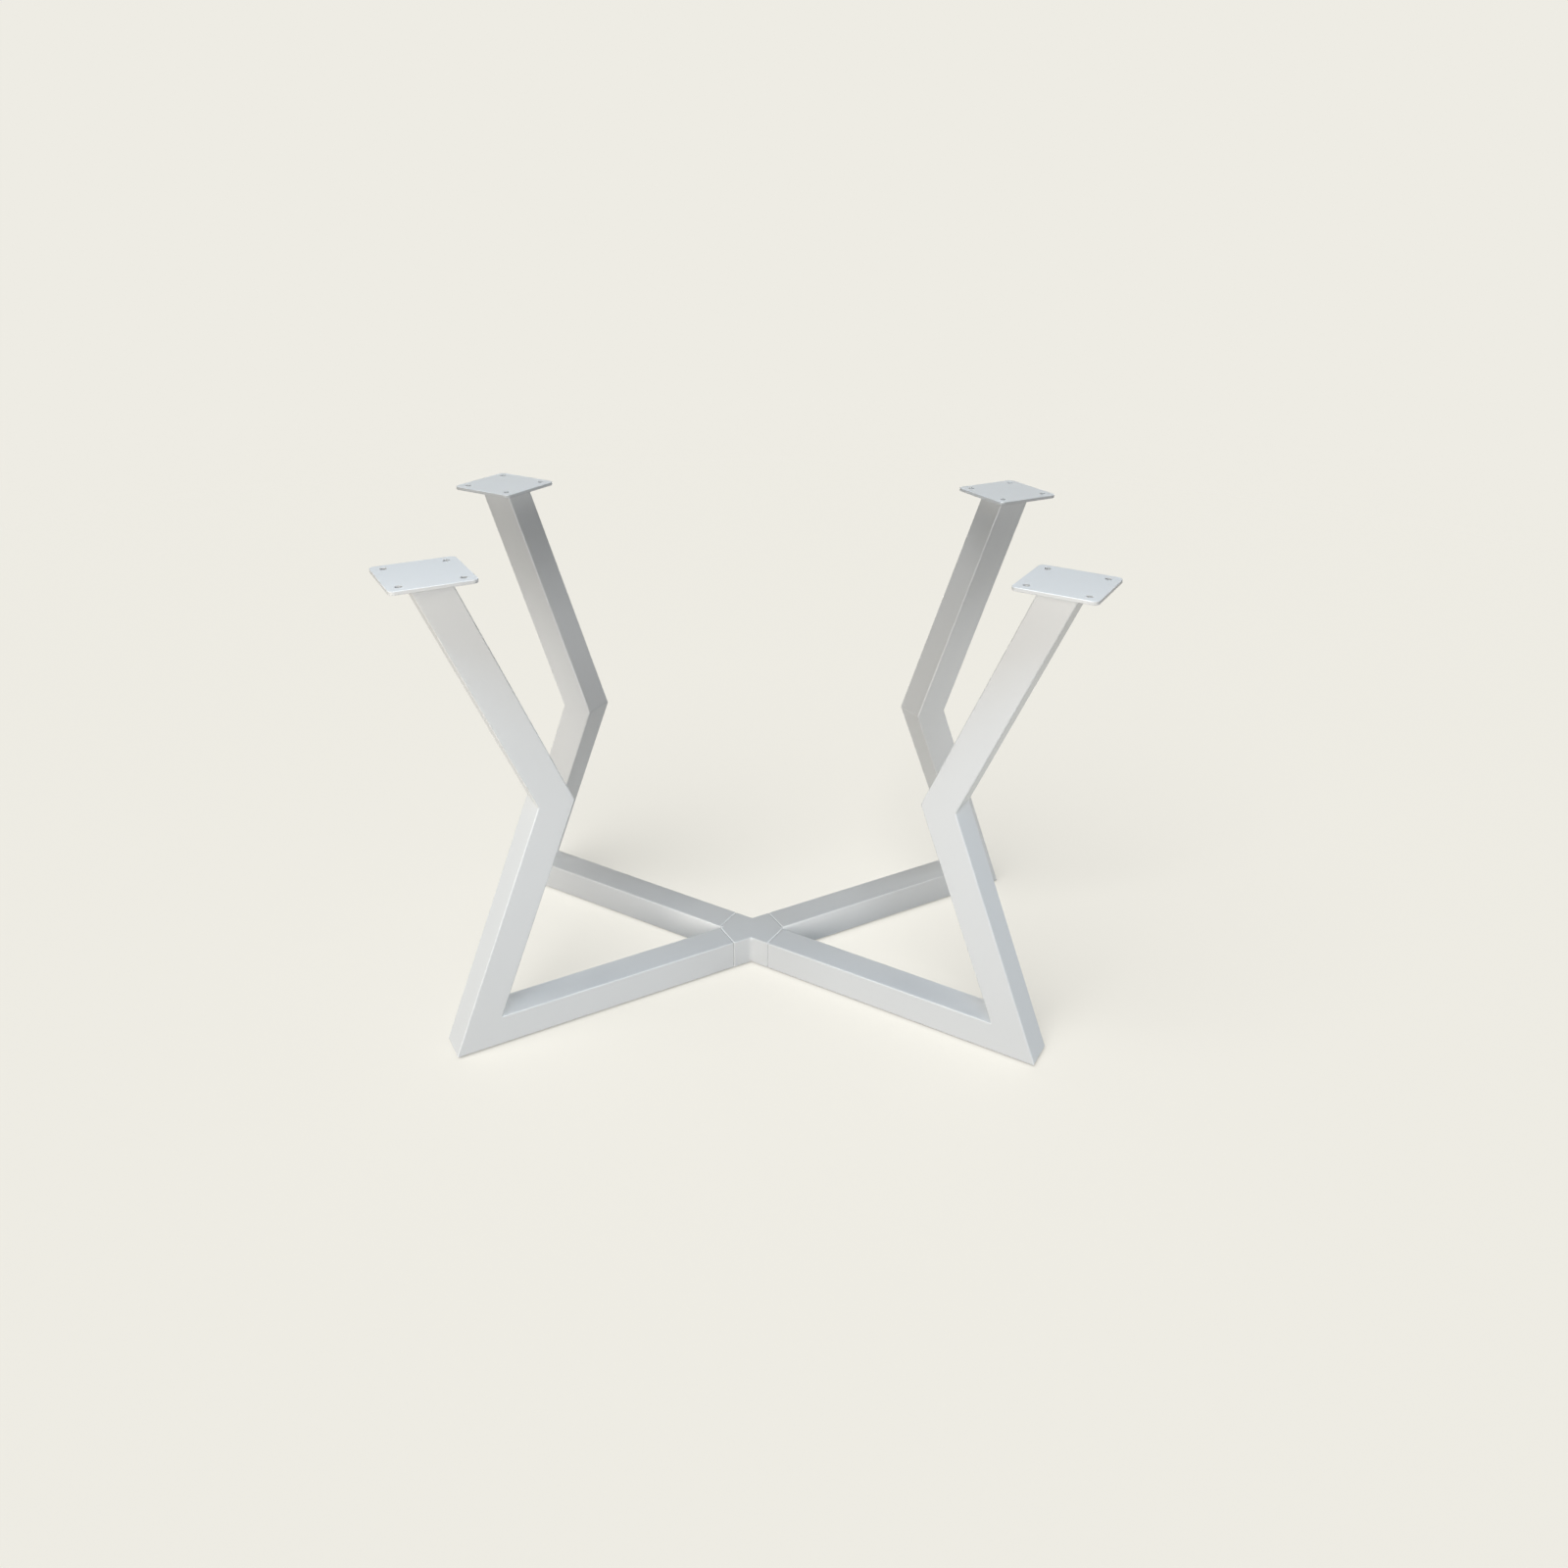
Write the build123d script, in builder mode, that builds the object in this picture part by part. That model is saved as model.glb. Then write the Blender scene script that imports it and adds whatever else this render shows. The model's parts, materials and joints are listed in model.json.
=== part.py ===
from build123d import *
import os
from math import atan2, copysign, cos, radians, sin, tan

# Base: four bent legs on a crossed floor rail, in millimetres
# Origin on the floor under the crossing, X along the long side, Z up
base_height = 740  # floor to the top of the mounting plates
rail_angle = 30  # floor rail to the long axis, in degrees
foot_reach = 515  # centre to the toe of a leg, along its rail
knee_reach = 353  # centre to the hollow of the knee, along the rail
knee_height = 390  # floor to the hollow of the knee
top_reach = 488  # centre to the leg's outer face under its plate

# Square steel tube of rails and legs
tube_size = 50
tube_wall = 1.5
bend_radius = 0.5  # inside corner of every tube
toe_radius = 3  # welded toe, ground round
knee_flat = 0.6  # depth ground off the welded ridge inside the knee

# Crossing: short sleeves on spigots that hold the rails
sleeve_land = 3  # sleeve past the corner where two sleeves meet
seam_gap = 0.4  # open joint between sleeve and rail
seam_chamfer = 1.3  # broken edges on both sides of the joint
spigot_wall = 3
spigot_clearance = 0.5  # spigot to tube, on each side

# Low-headed screws from below, two to a rail, in nuts inside the spigots
screw_diameter = 8
screw_clearance = 0.25  # round the shank, in the walls
screw_proud = 4.5  # shank past its nut
screw_inset = 25  # rail end to the first screw, last screw to spigot end
screw_pitch = 40
head_diameter = 16
head_height = 2
head_chamfer = 0.5
socket_size = 5  # hexagon key, across flats
socket_depth = 3.5
nut_size = 13  # across flats
nut_height = 6.5
nut_clearance = 0.05  # round the shank, in the nut

# Push-in glide under each toe
floor_clearance = 1  # floor to the screw heads
glide_diameter = 28
glide_chamfer = 1
glide_inset = 38  # toe to the glide's axis
stem_diameter = 8
stem_clearance = 0.1  # round the stem, and over the wall
barb_overhang = 0.6
barb_height = 5

# Mounting plate on each leg
plate_size = 110
plate_thickness = 5
plate_corner = 8
plate_chamfer = 0.5
plate_hole = 9
plate_hole_circle = 112

# Heights and reaches that follow from these
rail_base = head_height + floor_clearance
plate_base = base_height - plate_thickness
rail_axis = rail_base + tube_size / 2
seam_reach = tube_size / 2 / tan(radians(rail_angle)) + sleeve_land
rail_reach = seam_reach + seam_gap
spigot_size = tube_size - 2 * tube_wall - 2 * spigot_clearance
spigot_reach = rail_reach + 2 * screw_inset + screw_pitch
spigot_axis = rail_base + tube_wall + spigot_size / 2
screw_hole = screw_diameter + 2 * screw_clearance
nut_base = rail_base + tube_wall + spigot_wall
screw_length = tube_wall + spigot_wall + nut_height + screw_proud
screw_spots = [(rail_reach + screw_inset, 0), (rail_reach + screw_inset + screw_pitch, 0)]
glide_reach = foot_reach - glide_inset
stem_hole = stem_diameter + 2 * stem_clearance
barb_base = rail_base + tube_wall + stem_clearance

# Slopes of a leg above the floor, seen along its side plane
lower_slope = atan2(knee_height - rail_base, foot_reach - knee_reach)
upper_slope = atan2(plate_base - knee_height, top_reach - knee_reach)
toe_mitre = lower_slope / 2
knee_mitre = (upper_slope - lower_slope) / 2
plate_reach = top_reach - tube_size / sin(upper_slope) / 2

legs = {
    "front_left": 180 + rail_angle,
    "front_right": -rail_angle,
    "back_left": 180 - rail_angle,
    "back_right": rail_angle,
}


def side_plane(azimuth):
    # Upright plane along a rail: x out from the centre, y up
    return Plane.XZ.rotated((0, 0, azimuth))


def level_plane(azimuth, height, reach=0):
    # Level plane, its origin on the rail's line: x out along the rail
    side = side_plane(azimuth)
    return Plane(side.from_local_coords((reach, height)), x_dir=side.x_dir, z_dir=(0, 0, 1))


def plane_across(azimuth, point, slope):
    # Plane through a point of the side plane, facing along a slope in it
    side = side_plane(azimuth)
    facing = side.x_dir * cos(slope) + side.y_dir * sin(slope)
    return Plane(side.from_local_coords(point), x_dir=side.z_dir, z_dir=facing)


def square_tube(plane, size, wall, length):
    with BuildSketch(plane) as section:
        RectangleRounded(size, size, bend_radius + wall)
        RectangleRounded(size - 2 * wall, size - 2 * wall, bend_radius, mode=Mode.SUBTRACT)
    extrude(section.sketch, amount=length)


def leg_tube(azimuth, slope, length):
    # Tube along a slope from the knee, its outer face through the hollow, longer than the leg at both ends
    inward = copysign(tube_size / 2, slope)
    start = (
        knee_reach - tube_size * cos(slope) - inward * sin(slope),
        knee_height - tube_size * sin(slope) + inward * cos(slope),
    )
    square_tube(plane_across(azimuth, start, slope), tube_size, tube_wall, length + 2 * tube_size)


def end_rim(piece, azimuth, end):
    # Outer edges of a tube's end: 0 towards the centre of the base, -1 away from it
    along = Axis((0, 0, 0), side_plane(azimuth).x_dir)
    return piece.faces().sort_by(along)[end].outer_wire().edges()


def cut_crossing_mitres(azimuth):
    # Four tubes meet at the centre along the two upright planes between them
    outward = side_plane(azimuth).x_dir
    split(bisect_by=Plane((0, 0, 0), z_dir=(copysign(1, outward.X), 0, 0)))
    split(bisect_by=Plane((0, 0, 0), z_dir=(0, copysign(1, outward.Y), 0)))


def drill_up(azimuth, height, spots, diameter, wall):
    # Holes through a wall, from its underside
    with BuildSketch(level_plane(azimuth, height)) as holes:
        with Locations(*spots):
            Circle(diameter / 2)
    extrude(holes.sketch, amount=wall, mode=Mode.SUBTRACT)


def ground_toe(azimuth):
    # Takes the sharp toe off to an arc that touches the rail's underside and the leg's outer face
    def from_centre(distance, angle):
        return (centre[0] + distance * cos(angle), centre[1] + distance * sin(angle))

    centre = (foot_reach - toe_radius / tan(toe_mitre), rail_base + toe_radius)
    with BuildSketch(side_plane(azimuth)) as waste:
        with BuildLine():
            Polyline(
                centre,
                from_centre(2 * toe_radius, radians(-90)),
                from_centre(toe_radius / sin(toe_mitre) + toe_radius, -toe_mitre),
                from_centre(2 * toe_radius, radians(90) - lower_slope),
                close=True,
            )
        make_face()
        with Locations(centre):
            Circle(toe_radius, mode=Mode.SUBTRACT)
    extrude(waste.sketch, amount=tube_size, both=True, mode=Mode.SUBTRACT)


def ground_knee(azimuth):
    # Takes a narrow flat off the ridge, which lies across from the hollow of the knee
    depth = tube_size / sin((upper_slope + lower_slope) / 2) - knee_flat
    flat = (knee_reach - depth * cos(knee_mitre), knee_height - depth * sin(knee_mitre))
    split(bisect_by=plane_across(azimuth, flat, knee_mitre), keep=Keep.TOP)


def save(piece, name):
    piece.label = name
    export_step(piece, f"parts/{name}.step")


os.makedirs("parts", exist_ok=True)

for leg, azimuth in legs.items():
    toe_cut = plane_across(azimuth, (foot_reach, rail_base), radians(90) - toe_mitre)
    knee_cut = plane_across(azimuth, (knee_reach, knee_height), radians(90) + knee_mitre)

    # Floor rail, square at the crossing and mitred at the toe
    with BuildPart() as rail:
        rail_start = plane_across(azimuth, (rail_reach, rail_axis), 0)
        square_tube(rail_start, tube_size, tube_wall, foot_reach - rail_reach)
        chamfer(end_rim(rail, azimuth, 0), seam_chamfer)
        split(bisect_by=toe_cut, keep=Keep.BOTTOM)
        ground_toe(azimuth)
        drill_up(azimuth, rail_base, screw_spots, screw_hole, tube_wall)
        drill_up(azimuth, rail_base, [(glide_reach, 0)], stem_hole, tube_wall)
    save(rail.part, f"{leg}_rail")

    # Lower leg, leaning in from the toe to the knee
    with BuildPart() as lower_leg:
        leg_tube(azimuth, -lower_slope, (knee_height - rail_base) / sin(lower_slope))
        split(bisect_by=toe_cut, keep=Keep.TOP)
        split(bisect_by=knee_cut, keep=Keep.BOTTOM)
        ground_toe(azimuth)
        ground_knee(azimuth)
    save(lower_leg.part, f"{leg}_lower_leg")

    # Upper leg, leaning out from the knee to its plate
    with BuildPart() as upper_leg:
        leg_tube(azimuth, upper_slope, (plate_base - knee_height) / sin(upper_slope))
        split(bisect_by=knee_cut, keep=Keep.TOP)
        split(bisect_by=level_plane(azimuth, plate_base), keep=Keep.BOTTOM)
        ground_knee(azimuth)
    save(upper_leg.part, f"{leg}_upper_leg")

    # Mounting plate, square to its leg
    with BuildPart() as top_plate:
        with BuildSketch(level_plane(azimuth, plate_base, plate_reach)):
            RectangleRounded(plate_size, plate_size, plate_corner)
            with PolarLocations(plate_hole_circle / 2, 4, start_angle=45):
                Circle(plate_hole / 2, mode=Mode.SUBTRACT)
        extrude(amount=plate_thickness)
        rims = top_plate.faces().filter_by(Axis.Z)
        chamfer([edge for rim in rims for edge in rim.outer_wire().edges()], plate_chamfer)
    save(top_plate.part, f"{leg}_top_plate")

    # Glide with a barbed stem through the rail's floor wall
    with BuildPart() as glide:
        with BuildSketch(side_plane(azimuth)):
            with BuildLine():
                Polyline(
                    (glide_reach, 0),
                    (glide_reach + glide_diameter / 2 - glide_chamfer, 0),
                    (glide_reach + glide_diameter / 2, glide_chamfer),
                    (glide_reach + glide_diameter / 2, rail_base),
                    (glide_reach + stem_diameter / 2, rail_base),
                    (glide_reach + stem_diameter / 2, barb_base),
                    (glide_reach + stem_diameter / 2 + barb_overhang, barb_base),
                    (glide_reach + stem_diameter / 2 - barb_overhang, barb_base + barb_height),
                    (glide_reach, barb_base + barb_height),
                    close=True,
                )
            make_face()
        revolve(axis=Axis(side_plane(azimuth).from_local_coords((glide_reach, 0)), (0, 0, 1)))
    save(glide.part, f"{leg}_glide")

    # Sleeve of the crossing, flush with the rail it faces
    with BuildPart() as sleeve:
        square_tube(plane_across(azimuth, (0, rail_axis), 0), tube_size, tube_wall, seam_reach)
        chamfer(end_rim(sleeve, azimuth, -1), seam_chamfer)
        cut_crossing_mitres(azimuth)
    save(sleeve.part, f"{leg}_hub_sleeve")

    # Spigot through the sleeve into the rail, resting on their floor walls
    with BuildPart() as spigot:
        square_tube(plane_across(azimuth, (0, spigot_axis), 0), spigot_size, spigot_wall, spigot_reach)
        cut_crossing_mitres(azimuth)
        drill_up(azimuth, rail_base + tube_wall, screw_spots, screw_hole, spigot_wall)
    save(spigot.part, f"{leg}_hub_spigot")

# Lock screws, head down under the rails
with BuildPart() as lock_screws:
    for azimuth in legs.values():
        with BuildSketch(level_plane(azimuth, rail_base)):
            with Locations(*screw_spots):
                Circle(head_diameter / 2)
        extrude(amount=-head_height)
    chamfer(lock_screws.faces().group_by(Axis.Z)[0].edges(), head_chamfer)
    for azimuth in legs.values():
        with BuildSketch(level_plane(azimuth, rail_base)):
            with Locations(*screw_spots):
                Circle(screw_diameter / 2)
        extrude(amount=screw_length)
        with BuildSketch(level_plane(azimuth, rail_base - head_height)):
            with Locations(*screw_spots):
                RegularPolygon(socket_size / 2, 6, major_radius=False)
        extrude(amount=socket_depth, mode=Mode.SUBTRACT)
save(lock_screws.part, "lock_screws")

# Lock nuts, welded inside the spigots
with BuildPart() as lock_nuts:
    for azimuth in legs.values():
        with BuildSketch(level_plane(azimuth, nut_base)):
            with Locations(*screw_spots):
                RegularPolygon(nut_size / 2, 6, major_radius=False)
                Circle(screw_diameter / 2 + nut_clearance, mode=Mode.SUBTRACT)
        extrude(amount=nut_height)
save(lock_nuts.part, "lock_nuts")
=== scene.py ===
import json
from math import atan2, cos, pi, radians, sin, tan
import bpy
import numpy as np
from mathutils import Matrix, Vector


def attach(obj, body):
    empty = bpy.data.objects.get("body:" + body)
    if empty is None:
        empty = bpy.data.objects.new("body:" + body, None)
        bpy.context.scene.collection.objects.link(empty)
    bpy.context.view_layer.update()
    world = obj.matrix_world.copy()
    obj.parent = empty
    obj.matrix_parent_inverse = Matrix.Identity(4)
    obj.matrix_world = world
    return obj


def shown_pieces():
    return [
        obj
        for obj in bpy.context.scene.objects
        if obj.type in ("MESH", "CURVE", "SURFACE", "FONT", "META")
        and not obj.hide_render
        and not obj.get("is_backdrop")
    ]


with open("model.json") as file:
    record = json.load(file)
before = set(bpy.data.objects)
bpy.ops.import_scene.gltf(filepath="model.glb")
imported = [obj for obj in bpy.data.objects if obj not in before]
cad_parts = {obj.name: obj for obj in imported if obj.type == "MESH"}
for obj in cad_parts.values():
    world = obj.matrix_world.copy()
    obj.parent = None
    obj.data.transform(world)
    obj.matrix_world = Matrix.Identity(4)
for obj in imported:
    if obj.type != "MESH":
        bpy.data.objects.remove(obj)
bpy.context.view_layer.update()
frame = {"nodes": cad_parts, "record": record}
print("frame loaded,", len(frame["nodes"]), "nodes")


class Wire:
    # A node's output with arithmetic: each operator adds one Math node
    def __init__(self, sheet, socket):
        self.sheet = sheet
        self.socket = socket

    def math(self, operation, *values):
        return self.sheet.add("ShaderNodeMath", {"operation": operation}, dict(enumerate(values)))

    def __add__(self, other):
        return self.math("ADD", self, other)

    def __radd__(self, other):
        return self.math("ADD", other, self)

    def __sub__(self, other):
        return self.math("SUBTRACT", self, other)

    def __rsub__(self, other):
        return self.math("SUBTRACT", other, self)

    def __mul__(self, other):
        return self.math("MULTIPLY", self, other)

    def __rmul__(self, other):
        return self.math("MULTIPLY", other, self)


class Sheet:
    # A node tree being drawn: add() makes any node, settings first, then its sockets
    def __init__(self, owner):
        owner.use_nodes = True
        self.owner = owner
        self.tree = owner.node_tree
        self.tree.nodes.clear()

    def add(self, kind, settings=None, sockets=None, output=0):
        node = self.tree.nodes.new(kind)
        for name, value in (settings or {}).items():
            setattr(node, name, value)
        for name, value in (sockets or {}).items():
            if isinstance(value, Wire):
                self.tree.links.new(value.socket, node.inputs[name])
            else:
                node.inputs[name].default_value = value
        return Wire(self, node.outputs[output] if node.outputs else None)

    def place(self):
        return self.add("ShaderNodeTexCoord", output="Object")

    def noise(self, size, detail, at=None):
        # Noise from 0 to 1 with features about one size across, in metres
        sockets = {"Vector": at or self.place(), "Scale": 1 / size, "Detail": detail}
        return self.add("ShaderNodeTexNoise", {}, sockets)

    def blend(self, factor, first, second):
        # Colour between two colours, which are the Mix node's sockets 6 and 7
        sockets = {0: factor, 6: first, 7: second}
        return self.add("ShaderNodeMix", {"data_type": "RGBA"}, sockets, output=2)

    def relief(self, height, depth, under=None):
        # Normal of a relief whose height runs from 0 to 1 over a depth in metres
        sockets = {"Height": height, "Distance": depth, "Strength": 1.0}
        if under:
            sockets["Normal"] = under
        return self.add("ShaderNodeBump", {}, sockets)

    def finish(self, sockets):
        shader = self.add("ShaderNodeBsdfPrincipled", {}, sockets)
        self.add("ShaderNodeOutputMaterial", {}, {"Surface": shader})
        return self.owner


def opaque(colour):
    return (*colour, 1.0)


noiseMiddle = 0.5  # noise runs from 0 to 1


# Satin powder coat: orange peel over a finer grain, with faint clouds of shade and gloss
coat = {
    "colour": (0.80, 0.81, 0.81),
    "thinColour": (0.765, 0.78, 0.785),
    "cloudSize": 0.09,
    "cloudDetail": 3.0,
    "cloudShare": 0.5,
    "speckSize": 0.0011,
    "speckDetail": 1.0,
    "speckShare": 0.25,
    "roughness": 0.25,
    "roughnessSwing": 0.08,
    "specular": 0.50,
    "smearSize": 0.035,
    "smearDetail": 4.0,
    "peelSize": 0.0026,
    "peelDetail": 1.5,
    "peelDepth": 0.000022,
    "grainSize": 0.0006,
    "grainDetail": 1.0,
    "grainDepth": 0.000004,
}


def powderCoat():
    sheet = Sheet(bpy.data.materials.new("powderCoat"))
    cloud = sheet.noise(coat["cloudSize"], coat["cloudDetail"])
    speck = sheet.noise(coat["speckSize"], coat["speckDetail"])
    thin = cloud * coat["cloudShare"] + speck * coat["speckShare"]
    smear = sheet.noise(coat["smearSize"], coat["smearDetail"])
    grain = sheet.relief(sheet.noise(coat["grainSize"], coat["grainDetail"]), coat["grainDepth"])
    peel = sheet.relief(sheet.noise(coat["peelSize"], coat["peelDetail"]), coat["peelDepth"], grain)
    return sheet.finish({
        "Base Color": sheet.blend(thin, opaque(coat["colour"]), opaque(coat["thinColour"])),
        "Roughness": (smear - noiseMiddle) * coat["roughnessSwing"] + coat["roughness"],
        "Specular IOR Level": coat["specular"],
        "Normal": peel,
    })


# Cold-drawn steel of the spigots: draw marks and a patchy oil film
drawnSteel = {
    "colour": (0.46, 0.47, 0.48),
    "oiledColour": (0.33, 0.32, 0.30),
    "filmSize": 0.025,
    "filmDetail": 4.0,
    "markSize": 0.0009,
    "markDetail": 3.0,
    "markDepth": 0.000012,
    "roughness": 0.30,
    "roughnessSwing": 0.25,
}


def bareSteel():
    sheet = Sheet(bpy.data.materials.new("bareSteel"))
    film = sheet.noise(drawnSteel["filmSize"], drawnSteel["filmDetail"])
    marks = sheet.noise(drawnSteel["markSize"], drawnSteel["markDetail"])
    return sheet.finish({
        "Base Color": sheet.blend(film, opaque(drawnSteel["colour"]), opaque(drawnSteel["oiledColour"])),
        "Metallic": 1.0,
        "Roughness": marks * drawnSteel["roughnessSwing"] + drawnSteel["roughness"],
        "Normal": sheet.relief(marks, drawnSteel["markDepth"]),
    })


# Zinc plate of screws and nuts: bright, with a faint bloom
zinc = {
    "colour": (0.68, 0.70, 0.73),
    "bloomColour": (0.60, 0.585, 0.55),
    "bloomSize": 0.004,
    "bloomDetail": 3.0,
    "roughness": 0.22,
    "roughnessSwing": 0.22,
    "pitSize": 0.0005,
    "pitDetail": 2.0,
    "pitDepth": 0.000006,
}


def zincPlate():
    sheet = Sheet(bpy.data.materials.new("zincPlate"))
    bloom = sheet.noise(zinc["bloomSize"], zinc["bloomDetail"])
    pits = sheet.noise(zinc["pitSize"], zinc["pitDetail"])
    return sheet.finish({
        "Base Color": sheet.blend(bloom, opaque(zinc["colour"]), opaque(zinc["bloomColour"])),
        "Metallic": 1.0,
        "Roughness": bloom * zinc["roughnessSwing"] + zinc["roughness"],
        "Normal": sheet.relief(pits, zinc["pitDepth"]),
    })


# Moulded plastic of the glides: matt, a little scuffed where it meets the floor
glide = {
    "colour": (0.62, 0.63, 0.63),
    "scuffColour": (0.50, 0.50, 0.49),
    "scuffSize": 0.006,
    "scuffDetail": 5.0,
    "scuffHeight": 0.0012,
    "roughness": 0.55,
    "roughnessSwing": 0.15,
    "textureSize": 0.0007,
    "textureDetail": 2.0,
    "textureDepth": 0.00001,
}


def glidePlastic():
    sheet = Sheet(bpy.data.materials.new("glidePlastic"))
    place = sheet.place()
    height = sheet.add("ShaderNodeSeparateXYZ", {}, {"Vector": place}, output="Z")
    low = sheet.add("ShaderNodeMapRange", {}, {
        "Value": height, "From Min": 0.0, "From Max": glide["scuffHeight"], "To Min": 1.0, "To Max": 0.0,
    })
    scuff = low * sheet.noise(glide["scuffSize"], glide["scuffDetail"], place)
    texture = sheet.noise(glide["textureSize"], glide["textureDetail"], place)
    return sheet.finish({
        "Base Color": sheet.blend(scuff, opaque(glide["colour"]), opaque(glide["scuffColour"])),
        "Roughness": texture * glide["roughnessSwing"] + glide["roughness"],
        "Normal": sheet.relief(texture, glide["textureDepth"]),
    })


finishes = {
    "coated_steel": powderCoat(),
    "bare_steel": bareSteel(),
    "zinc_steel": zincPlate(),
    "glide_plastic": glidePlastic(),
}
for row in frame["record"]["subparts"]:
    skin = frame["nodes"][row["node"]].data.materials
    skin.clear()
    skin.append(finishes[row["material_slot"]])
print("finishes on,", len(finishes), "materials")


# Main sizes of the base, in metres and degrees, as the frame has them
base = {
    "railAngle": 30,
    "railBase": 0.003,
    "footReach": 0.515,
    "kneeReach": 0.353,
    "kneeHeight": 0.390,
    "topReach": 0.488,
    "tubeSize": 0.050,
    "tubeCorner": 0.002,
    "plateBase": 0.735,
}
lowerSlope = atan2(base["kneeHeight"] - base["railBase"], base["footReach"] - base["kneeReach"])
upperSlope = atan2(base["plateBase"] - base["kneeHeight"], base["topReach"] - base["kneeReach"])
# Direction of each leg's rail
legs = {
    "front_left": 180 + base["railAngle"],
    "front_right": -base["railAngle"],
    "back_left": 180 - base["railAngle"],
    "back_right": base["railAngle"],
}


def legAxes(leg):
    # Out along the leg's rail, across it and up, as unit vectors
    turn = radians(legs[leg])
    out = np.array([cos(turn), sin(turn), 0])
    across = np.array([-sin(turn), cos(turn), 0])
    return out, across, np.array([0, 0, 1.0])


def gridFaces(rows, columns):
    # Quads of a grid that closes along both of its directions
    index = np.arange(rows * columns).reshape(rows, columns)
    nextRow = np.roll(index, -1, 0)
    corners = (index, nextRow, np.roll(nextRow, -1, 1), np.roll(index, -1, 1))
    return np.stack(corners, -1).reshape(-1, 4)


def makePiece(name, points, faces, slot):
    mesh = bpy.data.meshes.new(name)
    mesh.from_pydata(points.reshape(-1, 3), [], faces)
    mesh.polygons.foreach_set("use_smooth", np.ones(len(mesh.polygons), bool))
    mesh.materials.append(finishes[slot])
    mesh.update()
    piece = bpy.data.objects.new(name, mesh)
    bpy.context.collection.objects.link(piece)
    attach(piece, "root")
    return piece


# Weld bead round the top of each leg, under its plate
plateWeld = {
    "leg": 0.0042,  # along the plate and down the tube
    "fullness": 1.45,  # 1 is a quarter round, 2 is flat
    "ripplePitch": 0.0021,
    "rippleShare": 0.05,
    "rippleLag": 2.2,  # the ripples curve back across the bead, in radians
    "wander": 0.06,  # slow change of the bead's size
    "wanderWaves": 7,  # times round the tube
    "sink": 0.0004,  # how far its root is in the tube and plate
    "stations": 640,
    "profile": 12,
}


def plateBead(leg):
    # A point goes round the tube's rounded rectangle; from it the bead reaches out
    # along the plate by leg * cos(s)^k and down the tube by leg * sin(s)^k, s from 0 to 90 degrees
    out, across, up = legAxes(leg)
    down = -(cos(upperSlope) * out + sin(upperSlope) * up)
    stretch = 1 / sin(upperSlope)
    half = base["tubeSize"] / 2
    straight = half - base["tubeCorner"]
    # rounded square: the corner's centre plus a turning radius, evenly spaced along its length
    arc = base["tubeCorner"] * pi / 2
    side = 2 * straight
    total = 4 * (side + arc)
    along = np.arange(plateWeld["stations"]) / plateWeld["stations"] * total
    edge, rest = np.divmod(along, side + arc)
    turned = edge * pi / 2 + np.clip((rest - side) / arc, 0, 1) * pi / 2
    run = np.clip(rest, 0, side) - straight
    normal = np.stack([np.cos(turned), np.sin(turned)], -1)
    square = edge * pi / 2
    ahead = np.stack([-np.sin(square), np.cos(square)], -1)
    facing = np.stack([np.cos(square), np.sin(square)], -1)
    outline = facing * straight + ahead * run[:, None] + normal * base["tubeCorner"]
    centre = out * (base["topReach"] - half * stretch) + up * base["plateBase"]
    foot = centre + outline[:, :1] * stretch * out + outline[:, 1:] * across
    outward = normal[:, :1] * out + normal[:, 1:] * across
    sweep = np.linspace(0, pi / 2, plateWeld["profile"])
    circuit = 2 * pi * along / total
    wave = np.round(total / plateWeld["ripplePitch"]) * circuit
    swell = 1 + plateWeld["wander"] * np.sin(plateWeld["wanderWaves"] * circuit + radians(legs[leg]))
    lag = plateWeld["rippleLag"] * np.sin(2 * sweep)
    ripple = 1 + plateWeld["rippleShare"] * np.cos(wave[:, None] - lag)
    reach = plateWeld["leg"] * swell[:, None] * ripple
    onPlate = reach * np.cos(sweep) ** plateWeld["fullness"]
    onTube = reach * np.sin(sweep) ** plateWeld["fullness"]
    skin = foot[:, None] + onPlate[..., None] * outward[:, None] + onTube[..., None] * down
    skin[:, 0] += plateWeld["sink"] * up
    skin[:, -1] -= plateWeld["sink"] * outward
    root = foot + plateWeld["sink"] * (up - outward)
    points = np.concatenate([skin, root[:, None]], 1)
    faces = gridFaces(*points.shape[:2])
    return makePiece(f"{leg}_plate_weld", points, faces[:, ::-1], "coated_steel")


beads = [plateBead(leg) for leg in legs]
print("plate welds,", sum(len(bead.data.polygons) for bead in beads), "faces")


# Dressed weld fillets in the hollow corners: the knees, above the toes and round the crossing
fillet = {
    "kneeLeg": 0.0032,
    "toeLeg": 0.0030,
    "wideLeg": 0.0060,  # crossing, front
    "narrowLeg": 0.0018,  # crossing, back and sides
    "taper": 0.0050,  # each end runs out over this length
    "endShare": 0.08,
    "wander": 0.08,
    "wanderLength": 0.017,
    "wanderShift": 100,  # radians per metre of the start's place, so that no two are alike
    "sink": 0.0003,
    "stations": 72,
    "profile": 10,
}


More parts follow.
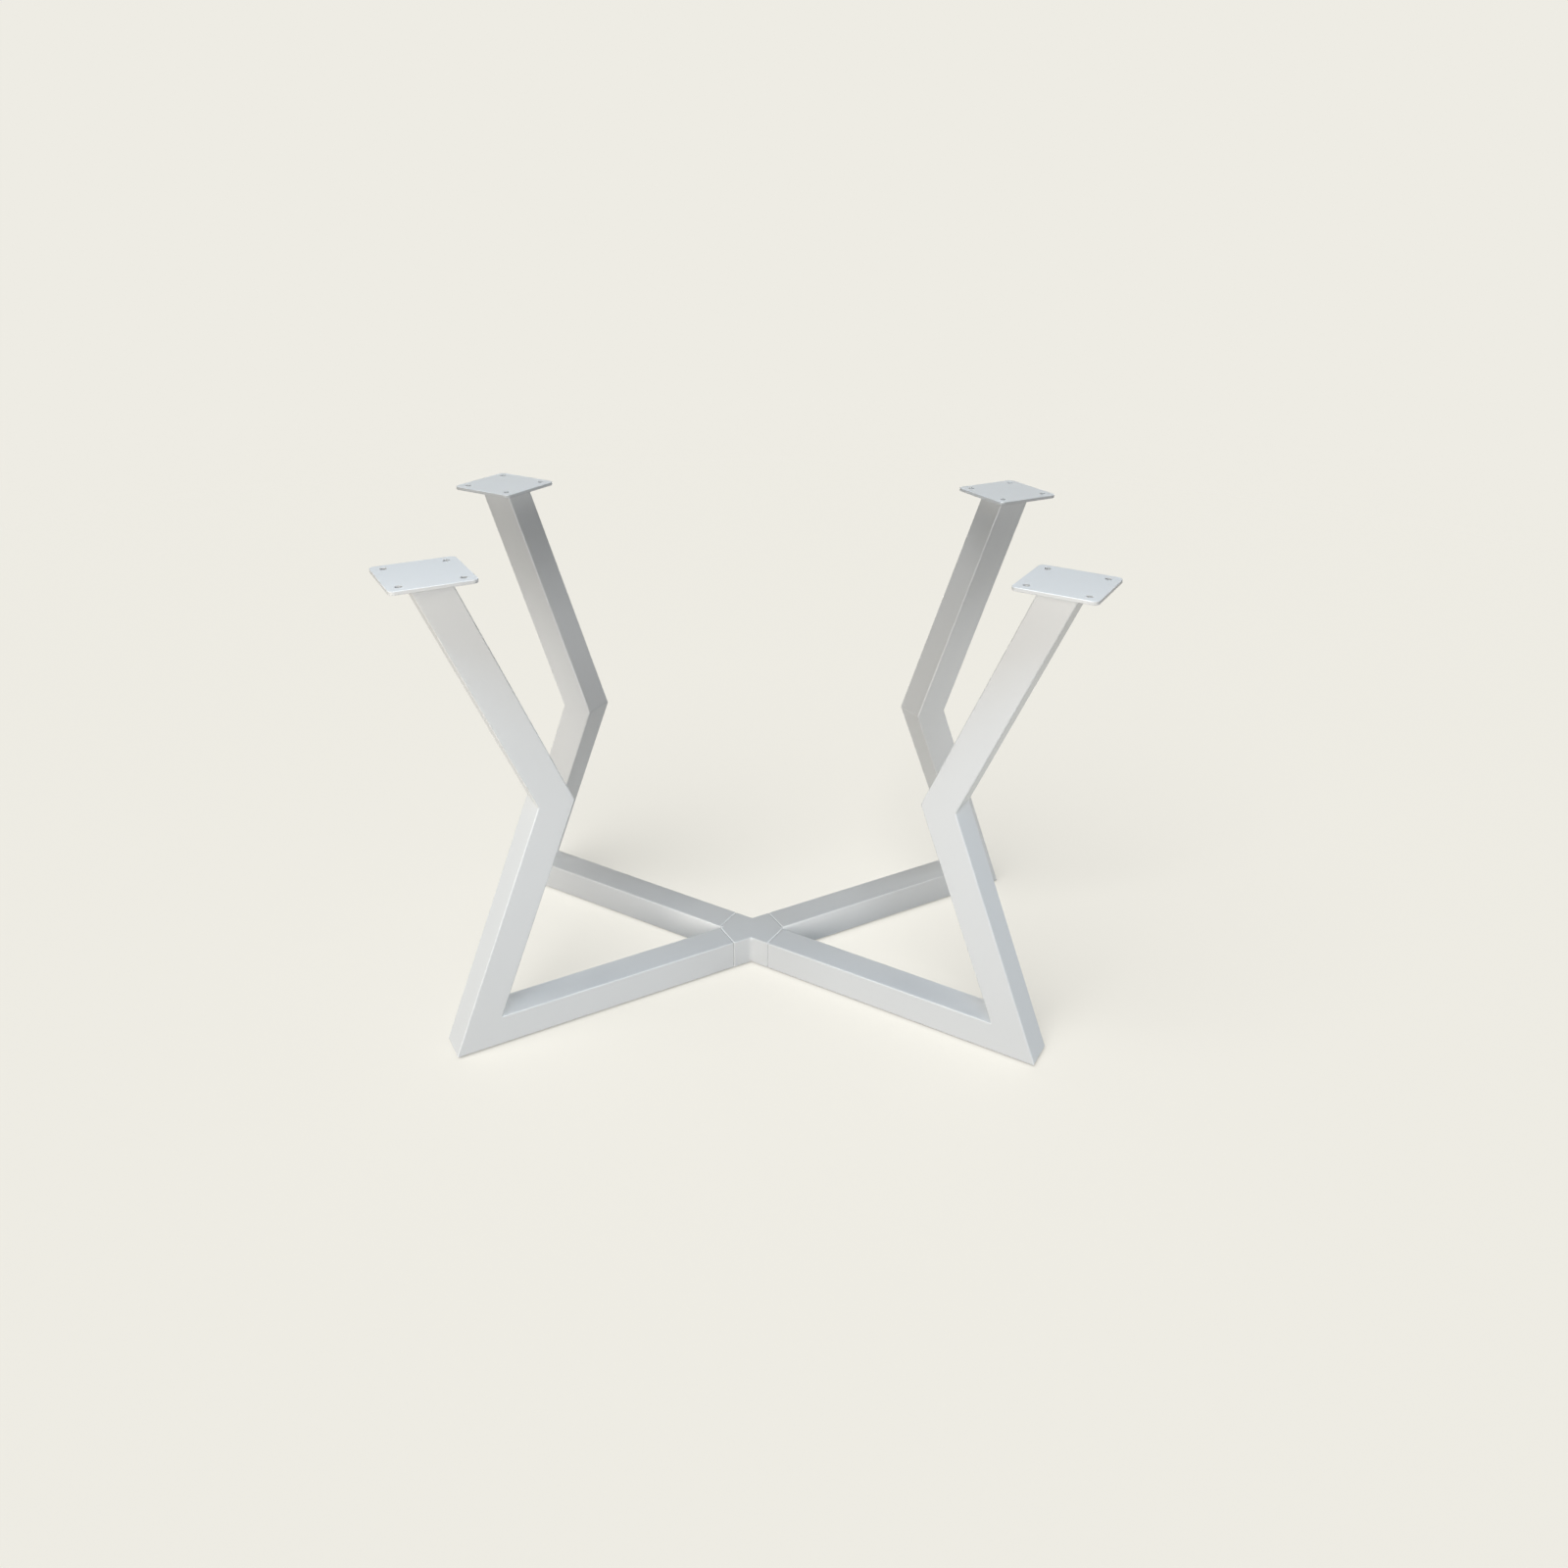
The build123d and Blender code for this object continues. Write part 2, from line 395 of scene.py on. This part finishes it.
def cornerFillet(name, start, end, firstFace, secondFace, leg):
    # From each point of the corner's line the skin goes (1-s)^2 along the first face and s^2 along
    # the second, s from 0 to 1, so it leaves both faces without a step; the leg shrinks at both ends
    along = np.linspace(0, 1, fillet["stations"])
    length = np.linalg.norm(end - start)
    toEnd = np.clip(np.minimum(along, 1 - along) * length / fillet["taper"], 0, 1)
    taper = fillet["endShare"] + (1 - fillet["endShare"]) * np.sin(toEnd * pi / 2)
    wave = 2 * pi * along * length / fillet["wanderLength"] + start.sum() * fillet["wanderShift"]
    size = leg * taper * (1 + fillet["wander"] * np.sin(wave))
    line = start + along[:, None] * (end - start)
    share = np.linspace(0, 1, fillet["profile"])[:, None]
    profile = (1 - share) ** 2 * firstFace + share ** 2 * secondFace
    skin = line[:, None] + size[:, None, None] * profile
    into = -(firstFace + secondFace) / np.linalg.norm(firstFace + secondFace)
    skin[:, 0] += fillet["sink"] * into
    skin[:, -1] += fillet["sink"] * into
    root = line + 2 * fillet["sink"] * into
    points = np.concatenate([skin, root[:, None]], 1)
    rows, columns = points.shape[:2]
    tube = gridFaces(rows, columns)[: (rows - 1) * columns]
    ring = np.arange(columns)
    caps = [ring.tolist(), (ring[::-1] + (rows - 1) * columns).tolist()]
    inward = np.dot(np.cross(end - start, firstFace), secondFace) > 0
    faces = [face[::-1] if inward else face for face in tube.tolist() + caps]
    return makePiece(name, points, faces, "coated_steel")


def legFillets(leg):
    out, across, up = legAxes(leg)
    reach = across * (base["tubeSize"] / 2 - base["tubeCorner"] / 2)
    downLower = cos(lowerSlope) * out - sin(lowerSlope) * up
    upUpper = cos(upperSlope) * out + sin(upperSlope) * up
    knee = base["kneeReach"] * out + base["kneeHeight"] * up
    cornerFillet(f"{leg}_knee_weld", knee - reach, knee + reach, downLower, upUpper, fillet["kneeLeg"])
    setBack = base["tubeSize"] * (1 / tan(lowerSlope) + 1 / sin(lowerSlope))
    toe = (base["footReach"] - setBack) * out + (base["railBase"] + base["tubeSize"]) * up
    cornerFillet(f"{leg}_toe_weld", toe - reach, toe + reach, -out, -downLower, fillet["toeLeg"])


def crossingFillets():
    half = base["tubeSize"] / 2
    low = base["railBase"] + base["tubeCorner"] / 2
    high = base["railBase"] + base["tubeSize"] - base["tubeCorner"] / 2
    around = {
        "front": ("front_left", "front_right", fillet["wideLeg"]),
        "back": ("back_left", "back_right", fillet["narrowLeg"]),
        "left": ("front_left", "back_left", fillet["narrowLeg"]),
        "right": ("front_right", "back_right", fillet["narrowLeg"]),
    }
    for name, (first, second, leg) in around.items():
        firstOut = legAxes(first)[0]
        secondOut = legAxes(second)[0]
        # the corner lies between the two tubes, half a tube from both of their axes
        between = (firstOut + secondOut) / np.linalg.norm(firstOut + secondOut)
        corner = between * half / np.linalg.norm(np.cross(between, firstOut))
        heights = np.array([[0, 0, low], [0, 0, high]])
        cornerFillet(f"{name}_crossing_weld", *(corner + heights), firstOut, secondOut, leg)


for leg in legs:
    legFillets(leg)
crossingFillets()
print("corner fillets done")


# Plain pale floor, fading into the backdrop colour far from the base
studio = {
    "backdrop": (0.855, 0.838, 0.776),
    "floorColour": (0.31, 0.303, 0.278),  # as it is seen
    "floorBounce": (0.045, 0.052, 0.056),  # as it throws light on the base
    "floorSize": 14.0,
    "floorDrop": 0.0002,  # below the glides
    "fadeFrom": 2.2,
    "fadeTo": 5.5,
    "lift": 0.54,  # share of the backdrop added where the floor is seen
    "skyColour": (0.78, 0.91, 1.0),
    "skyStrength": 0.02,
}
# Soft boxes round the base: azimuth 0 shines from the front, 90 from the right, heights in degrees
lamps = {
    "key": {"azimuth": -26, "height": 14, "size": 2.0, "power": 56, "colour": (1.0, 0.94, 0.85)},
    "front": {"azimuth": 16, "height": 12, "size": 1.6, "power": 24, "colour": (0.98, 0.98, 1.0)},
    "high": {"azimuth": -4, "height": 60, "size": 1.2, "power": 12, "colour": (0.3, 0.62, 1.0)},
    "leftHigh": {"azimuth": -55, "height": 42, "size": 0.5, "power": 9, "colour": (0.85, 0.93, 1.0)},
    "leftSide": {"azimuth": -68, "height": 26, "size": 0.6, "power": 13, "colour": (1.0, 1.0, 1.0)},
    "rim": {"azimuth": -110, "height": 22, "size": 0.6, "power": 8, "colour": (0.95, 0.98, 1.0)},
    "rightHigh": {"azimuth": 54, "height": 42, "size": 0.5, "power": 8, "colour": (0.75, 0.88, 1.0)},
    "rightSide": {"azimuth": 68, "height": 26, "size": 0.6, "power": 10, "colour": (0.92, 0.97, 1.0)},
    "rightRim": {"azimuth": 102, "height": 20, "size": 0.8, "power": 14, "colour": (0.95, 0.98, 1.0)},
}
# Fills behind the base, with no shadow and no glint
fills = {
    "backLeft": {"azimuth": -156, "height": -6, "size": 0.8, "power": 38, "colour": (0.99, 0.99, 1.0)},
    "backRight": {"azimuth": 156, "height": -6, "size": 0.8, "power": 38, "colour": (0.99, 0.99, 1.0)},
}
# The plates lie close under the board, so they have a lamp of their own, and so has the floor
plateLamp = {"azimuth": -20, "height": 80, "size": 1.2, "power": 52, "colour": (0.9, 0.95, 1.0)}
floorSun = {"azimuth": -35, "height": 58, "strength": 4.6, "angle": 50, "colour": (1.0, 1.0, 1.0)}
lampAim = (0, 0, 0.35)  # the middle of the base
lampDistance = 3.0
board = {"width": 1.7, "depth": 0.7, "height": 0.78, "colour": (0.0, 0.0, 0.0)}


def seenDirectly(sheet):
    # 1 for rays from the camera and for those that mirror or pass through to it
    camera = sheet.add("ShaderNodeLightPath", output="Is Camera Ray")
    mirrored = sheet.add("ShaderNodeLightPath", output="Is Glossy Ray")
    through = sheet.add("ShaderNodeLightPath", output="Is Transmission Ray")
    return camera.math("MAXIMUM", camera, mirrored.math("MAXIMUM", mirrored, through))


def levelPanel(name, width, depth, height, material):
    # Level rectangle centred over the base, no part of it
    corners = np.array([[-1, -1], [1, -1], [1, 1], [-1, 1]]) * (width / 2, depth / 2)
    corners = np.column_stack([corners, np.full(4, height)])
    mesh = bpy.data.meshes.new(name)
    mesh.from_pydata(corners, [], [(0, 1, 2, 3)])
    mesh.materials.append(material)
    panel = bpy.data.objects.new(name, mesh)
    bpy.context.collection.objects.link(panel)
    panel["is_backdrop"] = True
    return panel


def makeFloor():
    # Matt, with a little glow where it is seen; gone far away and from below
    sheet = Sheet(bpy.data.materials.new("studioFloor"))
    place = sheet.place()
    distance = sheet.add("ShaderNodeVectorMath", {"operation": "LENGTH"}, {0: place}, output="Value")
    far = sheet.add("ShaderNodeMapRange", {"interpolation_type": "SMOOTHSTEP"}, {
        "Value": distance, "From Min": studio["fadeFrom"], "From Max": studio["fadeTo"],
    })
    seen = seenDirectly(sheet)
    tone = sheet.blend(seen, opaque(studio["floorBounce"]), opaque(studio["floorColour"]))
    matt = sheet.add("ShaderNodeBsdfDiffuse", {}, {"Color": tone})
    glow = sheet.add("ShaderNodeEmission", {}, {
        "Color": opaque(studio["backdrop"]), "Strength": seen * studio["lift"],
    })
    near = sheet.add("ShaderNodeAddShader", {}, {0: matt, 1: glow})
    clear = sheet.add("ShaderNodeBsdfTransparent")
    below = sheet.add("ShaderNodeNewGeometry", output="Backfacing")
    gone = below.math("MAXIMUM", below, far * seen)
    shader = sheet.add("ShaderNodeMixShader", {}, {0: gone, 1: near, 2: clear})
    sheet.add("ShaderNodeOutputMaterial", {}, {"Surface": shader})
    size = studio["floorSize"]
    return levelPanel("studioFloor", size, size, -studio["floorDrop"], sheet.owner)


def makeSky():
    # The backdrop where it is seen, a faint cool sky for all other rays
    sheet = Sheet(bpy.data.worlds.new("studioSky"))
    seen = seenDirectly(sheet)
    soft = sheet.add("ShaderNodeBackground", {}, {
        "Color": opaque(studio["skyColour"]), "Strength": studio["skyStrength"],
    })
    plain = sheet.add("ShaderNodeBackground", {}, {"Color": opaque(studio["backdrop"]), "Strength": 1.0})
    shader = sheet.add("ShaderNodeMixShader", {}, {0: seen, 1: soft, 2: plain})
    sheet.add("ShaderNodeOutputWorld", {}, {"Surface": shader})
    bpy.context.scene.world = sheet.owner


def makeBoard():
    # Dark board over the base that only casts shade: it keeps overhead light off the upper parts
    sheet = Sheet(bpy.data.materials.new("studioBoard"))
    felt = sheet.add("ShaderNodeBsdfDiffuse", {}, {"Color": opaque(board["colour"])})
    sheet.add("ShaderNodeOutputMaterial", {}, {"Surface": felt})
    shade = levelPanel("studioBoard", board["width"], board["depth"], board["height"], sheet.owner)
    shade.visible_camera = False
    shade.visible_diffuse = False
    shade.visible_glossy = False
    shade.visible_transmission = False
    return shade


def group(name, members):
    # Objects that a lamp shines on, or that keep its light off others
    collection = bpy.data.collections.new(name)
    for member in members:
        collection.objects.link(member)
    return collection


def hangLamp(name, kind, lamp, lit, shading=None, glint=True):
    # Stands at its azimuth and height round the aim and shines at it
    light = bpy.data.lights.new(name, kind)
    light.color = lamp["colour"]
    stand = bpy.data.objects.new(name, light)
    turn, rise = radians(lamp["azimuth"]), radians(lamp["height"])
    toLamp = Vector((sin(turn) * cos(rise), -cos(turn) * cos(rise), sin(rise)))
    stand.location = Vector(lampAim) + toLamp * lampDistance
    stand.rotation_euler = toLamp.to_track_quat("Z", "Y").to_euler()
    stand.light_linking.receiver_collection = lit
    stand.light_linking.blocker_collection = shading
    stand.visible_glossy = glint
    bpy.context.collection.objects.link(stand)
    return light


def softBox(name, lamp, lit, shading=None, glint=True):
    box = hangLamp(name, "AREA", lamp, lit, shading, glint)
    box.energy = lamp["power"]
    box.size = lamp["size"]


def makeLamps(floor, shade):
    # Soft boxes light the base alone; a soft sun lights the floor, which stays even and takes the shadow
    wholeBase = group("wholeBase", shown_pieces())
    boardAlone = group("boardAlone", [shade])
    plates = group("plates", [frame["nodes"][f"{leg}_top_plate"] for leg in legs])
    for name, lamp in lamps.items():
        softBox(name, lamp, wholeBase)
    for name, lamp in fills.items():
        softBox(name, lamp, wholeBase, boardAlone, glint=False)
    softBox("plateLamp", plateLamp, plates, wholeBase)
    sun = hangLamp("floorSun", "SUN", floorSun, group("floor", [floor]), wholeBase)
    sun.energy = floorSun["strength"]
    sun.angle = radians(floorSun["angle"])


# Camera at the photograph's viewpoint, in metres and degrees
viewpoint = {
    "place": (0.04947, -1.61376, 1.18686),
    "yaw": -0.0723,
    "pitch": 28.0,
    "roll": 0.8292,
    "lens": 26.53,
    "sensor": 36.0,
}


def makeCamera():
    yaw, pitch, roll = (radians(viewpoint[name]) for name in ("yaw", "pitch", "roll"))
    right = Vector((cos(yaw), sin(yaw), 0))
    ahead = Vector((-sin(yaw) * cos(pitch), cos(yaw) * cos(pitch), -sin(pitch)))
    up = right.cross(ahead)
    across = cos(roll) * right + sin(roll) * up
    upright = cos(roll) * up - sin(roll) * right
    lens = bpy.data.cameras.new("camera")
    lens.sensor_width = viewpoint["sensor"]
    lens.lens = viewpoint["lens"]
    camera = bpy.data.objects.new("camera", lens)
    camera.matrix_world = Matrix((across, upright, -ahead)).transposed().to_4x4()
    camera.location = viewpoint["place"]
    bpy.context.collection.objects.link(camera)
    bpy.context.scene.camera = camera


makeSky()
makeLamps(makeFloor(), makeBoard())
makeCamera()
bpy.context.scene.view_settings.view_transform = "Standard"
print("studio set, lamps:", ", ".join([*lamps, *fills]))
